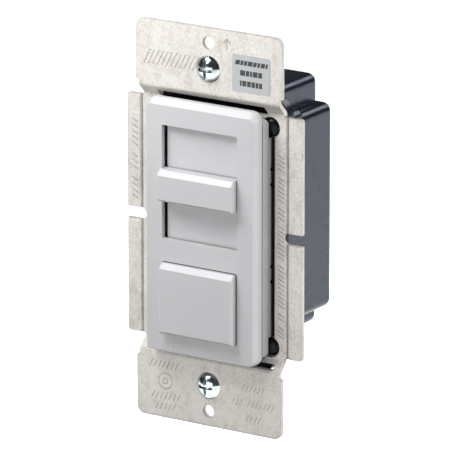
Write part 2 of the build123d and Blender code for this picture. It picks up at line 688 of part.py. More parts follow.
def housing_hollow():
    """The room inside the housing, open to the front."""
    back = HOUSING_BACK_Y - HOUSING_WALL
    wide = rounded(
        WIDE_HALF_WIDTH - HOUSING_WALL, WIDE_BOTTOM_Z + HOUSING_WALL,
        WIDE_TOP_Z - HOUSING_WALL, HOUSING_INNER_EDGE_R)
    narrow = rounded(
        NARROW_HALF_WIDTH - HOUSING_WALL, NARROW_BOTTOM_Z + HOUSING_WALL,
        NARROW_TOP_Z - HOUSING_WALL, HOUSING_INNER_EDGE_R)
    return slab(wide + narrow, BASE_BACK_Y, back)


def make_rear_housing():
    housing = housing_shell() - housing_hollow()
    for x, z in housing_screw_places():
        housing += rod(x, z, BOSS_R, BASE_BACK_Y, BOSS_END_Y)
    for x, z in board_screw_places():
        housing += rod(x, z, STANDOFF_R, BOARD_BACK_Y, HOUSING_BACK_Y - HOUSING_WALL)
    for x, z in housing_screw_places():
        housing -= rod(x, z, HOUSING_SCREW_HOLE_R, BASE_BACK_Y, HOUSING_SCREW_TIP_Y + HOLE_SPARE)
    board_hole_end = BOARD_FRONT_Y + BOARD_SCREW_LENGTH + HOLE_SPARE
    for x, z in board_screw_places():
        housing -= rod(x, z, BOARD_SCREW_HOLE_R, BOARD_BACK_Y, board_hole_end)
    return housing - slab(grommet_plug(0), HOUSING_BACK_Y - HOUSING_WALL, HOUSING_BACK_Y)


def grommet_plug(lip):
    """The lead grommet's outline, made larger all round by lip."""
    half_height = GROMMET_HALF_HEIGHT + lip
    return rounded(
        GROMMET_HALF_WIDTH + lip, GROMMET_Z - half_height, GROMMET_Z + half_height, GROMMET_CORNER_R)


def make_lead_grommet():
    inner_y = HOUSING_BACK_Y - HOUSING_WALL
    grommet = slab(grommet_plug(0), inner_y, HOUSING_BACK_Y)
    grommet += slab(grommet_plug(GROMMET_LIP), inner_y - GROMMET_LIP, inner_y)
    lead_slot = Rot(0, 0, 90) * SlotOverall(LEAD_SLOT_LENGTH, LEAD_SLOT_WIDTH)
    for step in (-1.5, -0.5, 0.5, 1.5):
        slot = Pos(step * LEAD_SLOT_PITCH, GROMMET_Z) * lead_slot
        grommet -= slab(slot, inner_y - GROMMET_LIP, HOUSING_BACK_Y)
    return grommet


# ---------------------------------------------------------------- electronics

def make_control_board():
    outline = rounded(BOARD_HALF_WIDTH, BOARD_BOTTOM_Z, BOARD_TOP_Z, 1.0)
    board = slab(outline, BOARD_FRONT_Y, BOARD_FRONT_Y + BOARD_T)
    for x, z in board_screw_places():
        board -= rod(x, z, BOARD_SCREW_HOLE_R, BOARD_FRONT_Y, BOARD_FRONT_Y + BOARD_T)
    return board


def make_board_screws():
    screws = []
    for x, z in board_screw_places():
        head = rod(x, z, BOARD_SCREW_HEAD_R, BOARD_FRONT_Y - BOARD_SCREW_HEAD_H, BOARD_FRONT_Y)
        screws.append(head + rod(x, z, BOARD_SCREW_R, BOARD_FRONT_Y, BOARD_FRONT_Y + BOARD_SCREW_LENGTH))
    return Compound(children=screws)


def boxed_component(x_limits, z_limits, height):
    """A component with round edges that stands on the back of the board."""
    body = block(*x_limits, BOARD_BACK_Y, BOARD_BACK_Y + height, *z_limits)
    return fillet(body.edges(), COMPONENT_EDGE_R)


def upright_bar(x, y, z, radius, length):
    """A round bar along Z whose lower end is at height z."""
    return extrude(Plane.XY.offset(z) * Pos(x, y) * Circle(radius), amount=length)


def make_power_relay():
    return boxed_component(RELAY_X, RELAY_Z, RELAY_H)


def make_film_capacitor():
    return boxed_component(FILM_CAPACITOR_X, FILM_CAPACITOR_Z, FILM_CAPACITOR_H)


def make_choke_core():
    ring = Circle(CHOKE_OUTER_R) - Circle(CHOKE_INNER_R)
    return slab(Pos(CHOKE_X, CHOKE_Z) * ring, CHOKE_Y - CHOKE_H / 2, CHOKE_Y + CHOKE_H / 2)


def make_choke_winding():
    """The copper turns, as a sleeve round most of the ring core."""
    core_width = CHOKE_OUTER_R - CHOKE_INNER_R
    sleeve = Rectangle(core_width + 2 * WINDING_T, CHOKE_H + 2 * WINDING_T) - Rectangle(core_width, CHOKE_H)
    section = Plane.XY * Pos(CHOKE_INNER_R + core_width / 2, 0) * sleeve
    return Pos(CHOKE_X, CHOKE_Y, CHOKE_Z) * revolve(section, Axis.Y, WINDING_ANGLE)


def make_electrolytic_capacitors():
    return Compound(children=[upright_bar(x, CAN_Y, CAN_Z, CAN_R, CAN_LENGTH) for x in CAN_X])


def make_resistors():
    y = BOARD_BACK_Y + RESISTOR_R
    return Compound(children=[upright_bar(x, y, z, RESISTOR_R, RESISTOR_LENGTH) for x, z in RESISTOR_PLACES])


def make_control_chip():
    return block(*CHIP_X, BOARD_FRONT_Y - CHIP_H, BOARD_FRONT_Y, *CHIP_Z)


def make_fuse():
    return upright_bar(FUSE_X, BOARD_FRONT_Y - FUSE_R, FUSE_Z, FUSE_R, FUSE_LENGTH)


def make_power_transistor():
    return block(*TRANSISTOR_X, BOARD_FRONT_Y - TRANSISTOR_H, BOARD_FRONT_Y, *TRANSISTOR_Z)


PARTS = {
    "mounting_strap": make_mounting_strap(),
    "rating_label": make_rating_label(),
    "upper_box_screw": make_box_screw(BOX_SCREW_SPACING / 2),
    "lower_box_screw": make_box_screw(-BOX_SCREW_SPACING / 2),
    "housing_screws": make_housing_screws(),
    "face_frame": make_face_frame(),
    "subframe": make_subframe(),
    "slider_floor": make_slider_floor(),
    "slider_knob": make_slider_knob(),
    "slider_carriage": make_slider_carriage(),
    "potentiometer_lever": make_potentiometer_lever(),
    "potentiometer_wiper": make_potentiometer_wiper(),
    "potentiometer_case": make_potentiometer_case(),
    "potentiometer_track": make_potentiometer_track(),
    "switch_pad": make_switch_pad(),
    "switch_plunger": make_switch_plunger(),
    "pad_spring": make_pad_spring(),
    "switch_body": make_switch_body(),
    "insulating_base": make_insulating_base(),
    "rear_housing": make_rear_housing(),
    "lead_grommet": make_lead_grommet(),
    "control_board": make_control_board(),
    "board_screws": make_board_screws(),
    "power_relay": make_power_relay(),
    "choke_core": make_choke_core(),
    "choke_winding": make_choke_winding(),
    "film_capacitor": make_film_capacitor(),
    "electrolytic_capacitors": make_electrolytic_capacitors(),
    "resistors": make_resistors(),
    "control_chip": make_control_chip(),
    "fuse": make_fuse(),
    "power_transistor": make_power_transistor(),
}

os.makedirs("parts", exist_ok=True)
for name, shape in PARTS.items():
    export_step(shape, f"parts/{name}.step")
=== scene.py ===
import json
import math

import bmesh
import bpy
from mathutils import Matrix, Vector


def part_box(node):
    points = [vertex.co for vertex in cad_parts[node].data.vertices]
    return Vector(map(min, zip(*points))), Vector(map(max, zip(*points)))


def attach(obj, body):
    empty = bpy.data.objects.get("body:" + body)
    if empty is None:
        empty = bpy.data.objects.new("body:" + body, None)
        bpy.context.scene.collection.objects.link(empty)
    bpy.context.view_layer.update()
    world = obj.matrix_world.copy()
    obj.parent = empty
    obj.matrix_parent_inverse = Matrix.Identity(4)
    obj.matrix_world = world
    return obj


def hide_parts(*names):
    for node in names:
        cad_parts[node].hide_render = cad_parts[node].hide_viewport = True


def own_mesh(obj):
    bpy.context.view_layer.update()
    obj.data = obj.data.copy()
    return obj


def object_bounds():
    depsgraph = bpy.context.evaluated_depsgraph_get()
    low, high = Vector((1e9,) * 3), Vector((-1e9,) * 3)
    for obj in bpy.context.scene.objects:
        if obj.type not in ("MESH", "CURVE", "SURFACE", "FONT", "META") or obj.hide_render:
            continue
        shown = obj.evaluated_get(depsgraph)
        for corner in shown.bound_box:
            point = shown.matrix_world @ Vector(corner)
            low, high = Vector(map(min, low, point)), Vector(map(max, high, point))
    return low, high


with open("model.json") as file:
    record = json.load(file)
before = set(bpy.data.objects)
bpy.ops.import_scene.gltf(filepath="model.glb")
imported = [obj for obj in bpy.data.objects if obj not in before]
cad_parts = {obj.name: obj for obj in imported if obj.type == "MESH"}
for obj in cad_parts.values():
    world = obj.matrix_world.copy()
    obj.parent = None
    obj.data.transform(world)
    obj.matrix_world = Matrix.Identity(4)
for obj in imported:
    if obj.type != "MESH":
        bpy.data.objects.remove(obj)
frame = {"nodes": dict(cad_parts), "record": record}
cad_low, cad_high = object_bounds()
nodes = frame["nodes"]

MM = 0.001

# ---------------------------------------------------------------- camera and lights

CAMERA_AZIMUTH = math.radians(33.0)
CAMERA_ELEVATION = math.radians(16.1)
CAMERA_DISTANCE = 1.5
CAMERA_LENS = 465.0
AIM_POINT = Vector((0, 5 * MM, 0))
AIM_RIGHT = 2.5 * MM
AIM_UP = -1.2 * MM
FAR_LIMIT = 20

# Each light faces the origin: place in metres, side of the square, power in watts
KEY_LIGHT = ((-0.07, -0.09, 0.165), 0.1, 0.435)
SIDE_LIGHT = ((0.9, 0.05, 0.16), 0.5, 7.8)
BOUNCE_LIGHT = ((0, -0.3, -0.05), 0.3, 0.75)
RIM_LIGHT = ((0.3, 0.85, 0.55), 0.35, 1.8)
FLOOR_LIGHT = ((0, 0, 1.5), 3, 57)
AMBIENT_STRENGTH = 0.07
FLOOR_HALF_SIZE = 6


def add_camera():
    """The camera looks at the front of the object from the right and a little above."""
    azimuth, elevation = CAMERA_AZIMUTH, CAMERA_ELEVATION
    back = Vector((
        math.sin(azimuth) * math.cos(elevation),
        -math.cos(azimuth) * math.cos(elevation),
        math.sin(elevation),
    ))
    right = Vector((math.cos(azimuth), math.sin(azimuth), 0))
    up = back.cross(right)
    data = bpy.data.cameras.new("camera")
    data.lens = CAMERA_LENS
    data.clip_end = FAR_LIMIT
    camera = bpy.data.objects.new("camera", data)
    camera.rotation_mode = "QUATERNION"
    camera.rotation_quaternion = (-back).to_track_quat("-Z", "Y")
    camera.location = AIM_POINT + AIM_RIGHT * right + AIM_UP * up + CAMERA_DISTANCE * back
    bpy.context.scene.collection.objects.link(camera)
    bpy.context.scene.camera = camera


def add_area_light(name, place, size, power):
    """A soft square light that faces the origin, where the object is."""
    data = bpy.data.lights.new(name, "AREA")
    data.shape = "SQUARE"
    data.size = size
    data.energy = power
    light = bpy.data.objects.new(name, data)
    light.location = place
    light.visible_camera = False
    light.rotation_mode = "QUATERNION"
    light.rotation_quaternion = Vector(place).to_track_quat("Z", "Y")
    bpy.context.scene.collection.objects.link(light)
    return light


# ---------------------------------------------------------------- node helpers

BEVEL_SAMPLES = 6
OCCLUSION_SAMPLES = 8
# Brown that painted shade darkens colours towards in gaps, creases and corners
PAINTED_SHADE_COLOUR = (0.06, 0.045, 0.035)
WHITE = (1, 1, 1)

# Noise mostly stays between these values, so they are stretched over the full range
NOISE_LOW = 0.3
NOISE_HIGH = 0.7


class Shader:
    """A material's node tree, with short calls for the nodes used here."""

    def __init__(self, name):
        self.material = bpy.data.materials.new(name)
        self.material.use_nodes = True
        self.tree = self.material.node_tree
        self.surface = self.tree.nodes["Principled BSDF"]
        self.place = self.tree.nodes.new("ShaderNodeTexCoord").outputs["Object"]

    def add(self, kind, inputs=None, **settings):
        node = self.tree.nodes.new(kind)
        for key, value in settings.items():
            setattr(node, key, value)
        for key, value in (inputs or {}).items():
            self.plug(value, node.inputs[key])
        return node

    def plug(self, value, socket):
        if isinstance(value, bpy.types.NodeSocket):
            self.tree.links.new(value, socket)
        else:
            socket.default_value = value

    def set(self, **values):
        for key, value in values.items():
            self.plug(value, self.surface.inputs[key.replace("_", " ")])

    def stretched(self, scale):
        """The object's coordinates, scaled separately along each axis."""
        return self.add("ShaderNodeMapping", {"Vector": self.place, "Scale": scale}).outputs[0]

    def noise(self, scale, detail=4, roughness=0.55, vector=None):
        inputs = {"Vector": vector or self.place, "Scale": scale, "Detail": detail, "Roughness": roughness}
        return self.add("ShaderNodeTexNoise", inputs).outputs["Fac"]

    def ramp(self, factor, *stops):
        """A colour ramp between two (position, colour) stops."""
        node = self.add("ShaderNodeValToRGB", {"Fac": factor})
        for element, (position, colour) in zip(node.color_ramp.elements, stops):
            element.position = position
            element.color = (*colour, 1)
        return node.outputs["Color"]

    def mottle(self, noise, dark, light):
        """Two colours, clouded together by a noise."""
        return self.ramp(noise, (NOISE_LOW, dark), (NOISE_HIGH, light))

    def spread(self, factor, low, high, start=0.0, end=1.0):
        """A factor from start to end, turned into a value from low to high."""
        inputs = {0: factor, 1: start, 2: end, 3: low, 4: high}
        return self.add("ShaderNodeMapRange", inputs).outputs[0]

    def uneven(self, noise, low, high):
        """A value that a noise moves between low and high."""
        return self.spread(noise, low, high, NOISE_LOW, NOISE_HIGH)

    def maths(self, operation, a, b):
        return self.add("ShaderNodeMath", {0: a, 1: b}, operation=operation).outputs[0]

    def mix(self, factor, a, b, blend="MIX"):
        node = self.add("ShaderNodeMix", data_type="RGBA", blend_type=blend)
        self.plug(factor, node.inputs[0])
        self.plug(a, node.inputs[6])
        self.plug(b, node.inputs[7])
        return node.outputs[2]

    def bevel(self, radius):
        """The surface normal, with edges rounded off by the radius."""
        return self.add("ShaderNodeBevel", {"Radius": radius}, samples=BEVEL_SAMPLES).outputs[0]

    def bump(self, height, strength, distance, normal=None):
        inputs = {"Height": height, "Strength": strength, "Distance": distance}
        if normal:
            inputs["Normal"] = normal
        self.set(Normal=self.add("ShaderNodeBump", inputs).outputs[0])

    def painted_shade(self, colour, distance, dark, unshaded):
        """Paints shade into a colour: darkens it with brown in gaps, creases and corners, where openness to
        the sky drops from unshaded to dark.
        """
        open_sky = self.add("ShaderNodeAmbientOcclusion", {"Distance": distance}, samples=OCCLUSION_SAMPLES)
        painted_shade_mask = self.ramp(open_sky.outputs["AO"], (dark, PAINTED_SHADE_COLOUR), (unshaded, WHITE))
        return self.mix(1.0, colour, painted_shade_mask, "MULTIPLY")

    def edge_wear(self, radius):
        """About 1 on outer edges and 0 elsewhere."""
        rounded = self.bevel(radius)
        sharp = self.add("ShaderNodeNewGeometry").outputs["Normal"]
        dot = self.add("ShaderNodeVectorMath", {0: rounded, 1: sharp}, operation="DOT_PRODUCT")
        return self.spread(dot.outputs["Value"], 1.0, 0.0, 0.6, 0.99)


def grey(value, tint=WHITE):
    """A near-grey colour with a small tint."""
    return tuple(value * channel for channel in tint)


# ---------------------------------------------------------------- materials

# A noise's scale is how often it repeats in a metre. Where it is 1, the stretch sets that along each axis.

def moulded_plastic(
        name, colour, roughness, grain=0.03, edge=0.12 * MM, contrast=0.02, painted_shade_reach=0.0, gloss=0.5,
        gloss_tint=WHITE):
    """Injection-moulded plastic: faint mottling, fine surface grain and soft edges.

    The painted shade reach is how far from gaps and corners shade is painted into the colour, and 0 paints
    none.
    """
    shader = Shader(name)
    cloud = shader.noise(60, 3)
    dark = tuple(channel * (1 - contrast) for channel in colour)
    light = tuple(channel * (1 + contrast) for channel in colour)
    base = shader.mottle(cloud, dark, light)
    # Painted shade: darkens the colour in gaps and corners, where shade falls
    if painted_shade_reach:
        base = shader.painted_shade(base, painted_shade_reach, 0.28, 0.62)
    shader.set(Base_Color=base)
    smudge = shader.noise(180, 5)
    shader.set(Roughness=shader.uneven(smudge, roughness - 0.05, roughness + 0.06))
    shader.set(Specular_IOR_Level=gloss, Specular_Tint=(*gloss_tint, 1))
    fine = shader.noise(5200, 2)
    shader.bump(fine, grain * 4, 0.02 * MM, shader.bevel(edge))
    return shader.material


def strap_metal():
    """Mill-finish steel sheet: sandy grain, brown stains, specks, darker burred edges, and painted shade in
    the score groove and where parts meet.
    """
    shader = Shader("strap_metal")
    grain = shader.noise(1.0, 5, 0.7, shader.stretched((2600, 2600, 1300)))
    blotch = shader.noise(1.0, 6, 0.75, shader.stretched((420, 420, 260)))
    patches = shader.noise(45, 4, 0.6)
    base = shader.mottle(grain, (0.52, 0.495, 0.46), (0.80, 0.775, 0.74))
    stain = shader.ramp(blotch, (0.48, WHITE), (0.72, (0.70, 0.63, 0.56)))
    base = shader.mix(0.8, base, stain, "MULTIPLY")
    base = shader.mix(0.7, base, shader.ramp(patches, (0.35, grey(0.84)), (0.65, WHITE)), "MULTIPLY")
    specks = shader.add("ShaderNodeTexVoronoi", {"Vector": shader.place, "Scale": 900}).outputs["Distance"]
    speck_cluster = shader.spread(patches, 1, 0, 0.38, 0.56)
    dot = shader.maths("MULTIPLY", shader.spread(specks, 1, 0, 0.08, 0.2), speck_cluster)
    base = shader.mix(shader.maths("MULTIPLY", dot, 0.75), base, (0.13, 0.1, 0.08, 1))
    burr = shader.maths("MULTIPLY", shader.edge_wear(0.4 * MM), shader.spread(blotch, 0.35, 1.0, 0.35, 0.6))
    base = shader.mix(burr, base, (0.2, 0.18, 0.16, 1))
    # Painted shade: darkens the score groove, gaps and corners, where shade falls
    shader.set(Base_Color=shader.painted_shade(base, 0.7 * MM, 0.3, 0.85))
    shader.set(Metallic=0.12, Roughness=shader.uneven(grain, 0.34, 0.5))
    shader.set(Specular_IOR_Level=0.3, Anisotropic=0.35)
    height = shader.maths("ADD", grain, shader.maths("MULTIPLY", blotch, 0.8))
    shader.bump(height, 0.3, 0.03 * MM, shader.bevel(0.12 * MM))
    return shader.material


def stamp_shade_metal():
    """Sheet steel bruised by a punch: duller than the sheet around it, and darker, which paints the shade
    of the shallow stamped groove.
    """
    shader = Shader("stamp_shade_metal")
    cloud = shader.noise(600, 4)
    shader.set(Base_Color=shader.mottle(cloud, (0.27, 0.25, 0.225), (0.46, 0.43, 0.39)))
    shader.set(Metallic=0.25, Roughness=shader.uneven(cloud, 0.42, 0.6))
    shader.bump(shader.noise(3000, 3), 0.2, 0.02 * MM)
    return shader.material


def zinc_plate():
    """Bright zinc: mirror-like with a faint blue passivation, dents, and painted shade in the drive and
    other recesses.
    """
    shader = Shader("zinc_steel")
    tint = (0.88, 0.98, 1.0)
    haze = shader.noise(700, 5)
    base = shader.mottle(haze, grey(0.36, tint), grey(0.62, tint))
    # Painted shade: darkens the drive and the places where the head meets other parts
    shader.set(Base_Color=shader.painted_shade(base, 0.9 * MM, 0.25, 0.8), Metallic=1.0)
    shader.set(Roughness=shader.uneven(haze, 0.06, 0.2))
    shader.bump(shader.noise(900, 3), 0.35, 0.08 * MM, shader.bevel(0.1 * MM))
    return shader.material


def plain_metal(name, colour, roughness):
    """Drawn or stamped metal with a light grain."""
    shader = Shader(name)
    grain = shader.noise(1.0, 4, 0.6, shader.stretched((3000, 400, 3000)))
    dark = tuple(channel * 0.85 for channel in colour)
    shader.set(Base_Color=shader.mottle(grain, dark, colour), Metallic=1.0)
    shader.set(Roughness=shader.uneven(grain, roughness - 0.06, roughness + 0.08))
    shader.bump(grain, 0.1, 0.02 * MM)
    return shader.material


def label_film():
    """Silver-grey satin film with faint printing dots."""
    shader = Shader("label_film")
    cloud = shader.noise(240, 3)
    shader.set(Base_Color=shader.mottle(cloud, (0.40, 0.415, 0.43), (0.44, 0.455, 0.47)))
    shader.set(Roughness=shader.uneven(cloud, 0.36, 0.46))
    shader.bump(shader.noise(4000, 2), 0.08, 0.01 * MM)
    return shader.material


def label_ink():
    """Matt black print, slightly uneven."""
    shader = Shader("label_ink")
    cloud = shader.noise(1800, 3)
    shader.set(Base_Color=shader.mottle(cloud, grey(0.012), grey(0.03)))
    shader.set(Roughness=shader.uneven(cloud, 0.45, 0.6))
    return shader.material


def wound_wire():
    """Enamelled copper turns laid side by side round the core."""
    shader = Shader("copper_wire")
    wave = shader.add("ShaderNodeTexWave", {"Vector": shader.place, "Scale": 700}).outputs["Fac"]
    shader.set(Base_Color=shader.ramp(wave, (0.1, (0.25, 0.08, 0.02)), (0.8, (0.62, 0.26, 0.09))))
    shader.set(Metallic=0.9, Roughness=shader.spread(wave, 0.35, 0.2))
    shader.bump(wave, 0.6, 0.1 * MM)
    return shader.material


def board_laminate():
    """Green solder mask over faint copper traces."""
    shader = Shader("board_laminate")
    cells = shader.add("ShaderNodeTexBrick", {"Vector": shader.stretched((260, 260, 260))})
    trace = cells.outputs["Fac"]
    shader.set(Base_Color=shader.ramp(trace, (0.2, (0.02, 0.11, 0.05)), (0.8, (0.05, 0.2, 0.09))))
    shader.set(Roughness=shader.uneven(shader.noise(600), 0.22, 0.36))
    shader.bump(trace, 0.3, 0.03 * MM)
    return shader.material


PLASTICS = {
    "black_screw": dict(colour=(0.006, 0.007, 0.008), roughness=0.25, gloss=0.1),
    # The face and subframe plastics get painted shade in their gaps and corners
    "face_plastic": dict(colour=(0.525, 0.53, 0.542), roughness=0.4, painted_shade_reach=0.9 * MM),
    "subframe_plastic": dict(colour=grey(0.43), roughness=0.42, painted_shade_reach=0.9 * MM),
    "dark_plastic": dict(colour=(0.008, 0.008, 0.009), roughness=0.4, gloss=0.1),
    "housing_plastic": dict(
        colour=(0.0075, 0.0095, 0.0165), roughness=0.24, grain=0.05, edge=0.15 * MM, contrast=0.05,
        gloss=0.42, gloss_tint=(0.62, 0.72, 1)),
    "grommet_rubber": dict(colour=(0.02, 0.02, 0.021), roughness=0.6, grain=0.08),
    "relay_plastic": dict(colour=(0.03, 0.09, 0.32), roughness=0.3),
    "ferrite": dict(colour=(0.05, 0.05, 0.052), roughness=0.55, grain=0.1),
    "capacitor_plastic": dict(colour=(0.62, 0.4, 0.05), roughness=0.3),
    "can_aluminium": dict(colour=(0.05, 0.06, 0.2), roughness=0.28),
    "resistor_lacquer": dict(colour=(0.5, 0.34, 0.18), roughness=0.3),
    "fuse_ceramic": dict(colour=(0.8, 0.77, 0.7), roughness=0.3),
}
METALS = {
    "brass": dict(colour=(0.8, 0.6, 0.28), roughness=0.3),
    "tinned_steel": dict(colour=(0.62, 0.63, 0.64), roughness=0.35),
    "spring_steel": dict(colour=(0.55, 0.55, 0.56), roughness=0.25),
}
MATERIALS = {
    "strap_metal": strap_metal(),
    "label_film": label_film(),
    "zinc_steel": zinc_plate(),
    "board_laminate": board_laminate(),
    "copper_wire": wound_wire(),
}
for name, settings in PLASTICS.items():
    MATERIALS[name] = moulded_plastic(name, **settings)
for name, settings in METALS.items():
    MATERIALS[name] = plain_metal(name, **settings)
INK = label_ink()
# The stamp material's darker colour is painted shade for the stamped grooves
STAMP_SHADE_METAL = stamp_shade_metal()


def dress(obj, material):
    """Gives an object one material in every slot."""
    if not obj.material_slots:
        obj.data.materials.append(material)
    for slot in obj.material_slots:
        slot.link = "OBJECT"
        slot.material = material


for subpart in frame["record"]["subparts"]:
    dress(nodes[subpart["node"]], MATERIALS[subpart["material_slot"]])


# ---------------------------------------------------------------- mesh helpers

def mesh_piece(name, mesh, body, material):
    """Adds a finished mesh to the scene as a piece that rides on a body."""
    piece = bpy.data.objects.new(name, mesh)
    bpy.context.scene.collection.objects.link(piece)
    dress(piece, material)
    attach(piece, body)
    return piece


def finish_mesh(bm, name, smooth_angle=None):
    """Turns a bmesh into a mesh; faces are smooth up to the given angle."""
    bmesh.ops.recalc_face_normals(bm, faces=bm.faces)
    mesh = bpy.data.meshes.new(name)
    bm.to_mesh(mesh)
    bm.free()
    if smooth_angle:
        mesh.shade_smooth()
        mesh.set_sharp_from_angle(angle=smooth_angle)
    return mesh


def join_rings(bm, rings, closed=False):
    """Skins rings of vertices into a tube, with a cap at each end unless it is closed."""
    pairs = list(zip(rings, rings[1:]))
    if closed:
        pairs.append((rings[-1], rings[0]))
    else:
        bm.faces.new(rings[0])
        bm.faces.new(rings[-1])
    size = len(rings[0])
    for ring, following in pairs:
        for i in range(size):
            j = (i + 1) % size
            bm.faces.new((ring[i], ring[j], following[j], following[i]))


def sweep_band(bm, path, profile, closed):
    """Sweeps a closed profile along a path of (x, z) points.

    A profile point is (offset across the path, y).
    """
    count = len(path)
    rings = []
    for index, point in enumerate(path):
        before = path[index - 1] if closed or index else point
        after = path[(index + 1) % count] if closed or index < count - 1 else point
        along = (Vector(after) - Vector(before)).normalized()
        across = Vector((along.y, -along.x))
        ring = []
        for offset, y in profile:
            ring.append(bm.verts.new((point[0] + offset * across.x, y, point[1] + offset * across.y)))
        rings.append(ring)
    join_rings(bm, rings, closed)


def circle_points(x, z, radius, count):
    """Points round a circle."""
    angles = [math.tau * i / count for i in range(count)]
    return [(x + radius * math.cos(angle), z + radius * math.sin(angle)) for angle in angles]


# ---------------------------------------------------------------- studio

def add_studio():
    """A pale floor with its own light, and soft lights round the object."""
    bm = bmesh.new()
    bmesh.ops.create_grid(bm, x_segments=1, y_segments=1, size=FLOOR_HALF_SIZE)
    floor = bpy.data.objects.new("floor", finish_mesh(bm, "floor"))
    floor.location = (0, 0, cad_low.z)
    bpy.context.scene.collection.objects.link(floor)
    shader = Shader("floor")
    shader.set(Base_Color=(0.9, 0.9, 0.9, 1), Roughness=0.8)
    dress(floor, shader.material)
    floor.visible_diffuse = False
    add_area_light("key_light", *KEY_LIGHT)
    add_area_light("side_light", *SIDE_LIGHT)
    add_area_light("bounce_light", *BOUNCE_LIGHT)
    add_area_light("rim_light", *RIM_LIGHT)
    floor_light = add_area_light("floor_light", *FLOOR_LIGHT)
    lit_by_floor_light = bpy.data.collections.new("lit_by_floor_light")
    lit_by_floor_light.objects.link(floor)
    floor_light.light_linking.receiver_collection = lit_by_floor_light
    floor_light.light_linking.blocker_collection = lit_by_floor_light


def add_world():
    """Dim even light from all round, with a white backdrop beyond the floor."""
    world = bpy.data.worlds.new("studio")
    world.use_nodes = True
    tree = world.node_tree
    dim = tree.nodes["Background"]
    dim.inputs["Color"].default_value = (*WHITE, 1)
    dim.inputs["Strength"].default_value = AMBIENT_STRENGTH
    backdrop = tree.nodes.new("ShaderNodeBackground")
    backdrop.inputs["Color"].default_value = (*WHITE, 1)
    mix = tree.nodes.new("ShaderNodeMixShader")
    seen = tree.nodes.new("ShaderNodeLightPath")
    tree.links.new(seen.outputs["Is Camera Ray"], mix.inputs[0])
    tree.links.new(dim.outputs[0], mix.inputs[1])
    tree.links.new(backdrop.outputs[0], mix.inputs[2])
    tree.links.new(mix.outputs[0], tree.nodes["World Output"].inputs["Surface"])
    bpy.context.scene.world = world
    bpy.context.scene.view_settings.view_transform = "Standard"


# ---------------------------------------------------------------- stamped marks on the strap

strap_low, strap_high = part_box("mounting_strap")
STRAP_THICKNESS = 1.2 * MM
TAB_FRONT_Y = 0.0
PLATE_FRONT_Y = strap_high.y - STRAP_THICKNESS

# A stamped line: its width between lips, how far the lips stand out and how far the edges sink in
STAMP_WIDTH = 0.24 * MM
STAMP_RIM = 0.03 * MM
STAMP_SINK = 0.02 * MM

# Its outer edges and its floor as shares of half the width, and the floor's height as a share of the lips'
STAMP_OUTER = 1.5
STAMP_INNER = 0.4
STAMP_FLOOR = 0.15
HATCH_LEAN = 0.5

# Rows of strokes, in mm: start across and up, pitch, height, number of strokes in each group
LOWER_TAB_ROWS = (
    (-18.0, 13.2, 1.3, 2.0, (7,)),
    (-17.4, 4.9, 1.3, 1.9, (7,)),
    (-16.2, 2.0, 1.3, 1.9, (5,)),
    (10.0, 11.2, 1.2, 1.8, (6,)),
    (7.0, 7.2, 1.2, 1.8, (3, 7)),
    (11.4, 3.2, 1.2, 1.8, (4,)),
)
LEFT_FIN_ROW = (-23.0, 3.8, 1.55, 1.9, (4, 3, 5))
RIGHT_PLATE_ROW = (21.1, -26.5, 1.15, 1.9, (3, 2, 10, 8, 3, 6, 4))
ARROW_X = 5.6 * MM
ARROW_DROP = 3.6 * MM
ARROW_SIZE = 3 * MM

# How far the arrow's barbs reach sideways and start above its middle, as shares of its size
BARB_REACH = 0.35
BARB_RISE = 0.1

BARS_START_X = -19.4 * MM
BARS_DROP = 11.6 * MM
BARS_PITCH = 2.7 * MM
BARS_HEIGHT = 3.6 * MM
BARS_COUNT = 7
RING_X = -13.2 * MM
RING_RISE = 9.8 * MM
RING_R = 2.1 * MM
RING_DOT_R = 0.7 * MM
RING_SEGMENTS = 28


def stamp_profile(front_y):
    """A shallow trough with raised lips, as a blunt punch leaves it."""
    half = STAMP_WIDTH / 2
    outer = half * STAMP_OUTER
    inner = half * STAMP_INNER
    back = front_y + STAMP_SINK
    lip = front_y - STAMP_RIM
    floor = front_y - STAMP_FLOOR * STAMP_RIM
    return [
        (-outer, back), (-outer, floor), (-half, lip), (-inner, floor),
        (inner, floor), (half, lip), (outer, floor), (outer, back),
    ]


def add_stamping(name, front_y, open_paths, closed_paths=()):
    """Adds one group of stamped lines to the strap."""
    bm = bmesh.new()
    for path in open_paths:
        sweep_band(bm, path, stamp_profile(front_y), False)
    for path in closed_paths:
        sweep_band(bm, path, stamp_profile(front_y), True)
    mesh_piece(name, finish_mesh(bm, name), "device", STAMP_SHADE_METAL)


def hatch_row(row, origin_z, along):
    """Slanted strokes in a row along a direction, in groups, in place of wording."""
    across, up, pitch, height, groups = row
    start = (across * MM, origin_z + up * MM)
    pitch *= MM
    height *= MM
    strokes = []
    upright = (-along[1], along[0])
    place = 0
    for group in groups:
        for _ in range(group):
            foot = [start[axis] + pitch * place * along[axis] for axis in (0, 1)]
            top = [foot[axis] + height * (upright[axis] + HATCH_LEAN * along[axis]) for axis in (0, 1)]
            strokes.append([foot, top])
            place += 1
        place += 1
    return strokes


def slanted_boxes(start, pitch, height, count):
    """A row of outlined slanted bars."""
    boxes = []
    for index in range(count):
        low_x = start[0] + pitch * index
        high_x = low_x + pitch / 2
        shift = height * HATCH_LEAN
        top = start[1] + height
        boxes.append([(low_x, start[1]), (high_x, start[1]), (high_x + shift, top), (low_x + shift, top)])
    return boxes


def up_arrow(x, z, size):
    """An arrow that shows which end goes up."""
    tip = (x, z + size / 2)
    barb_x = size * BARB_REACH
    barb_z = z + size * BARB_RISE
    shaft = [(x, z - size / 2), tip]
    left = [(x - barb_x, barb_z), tip]
    right = [(x + barb_x, barb_z), tip]
    return [shaft, left, right]


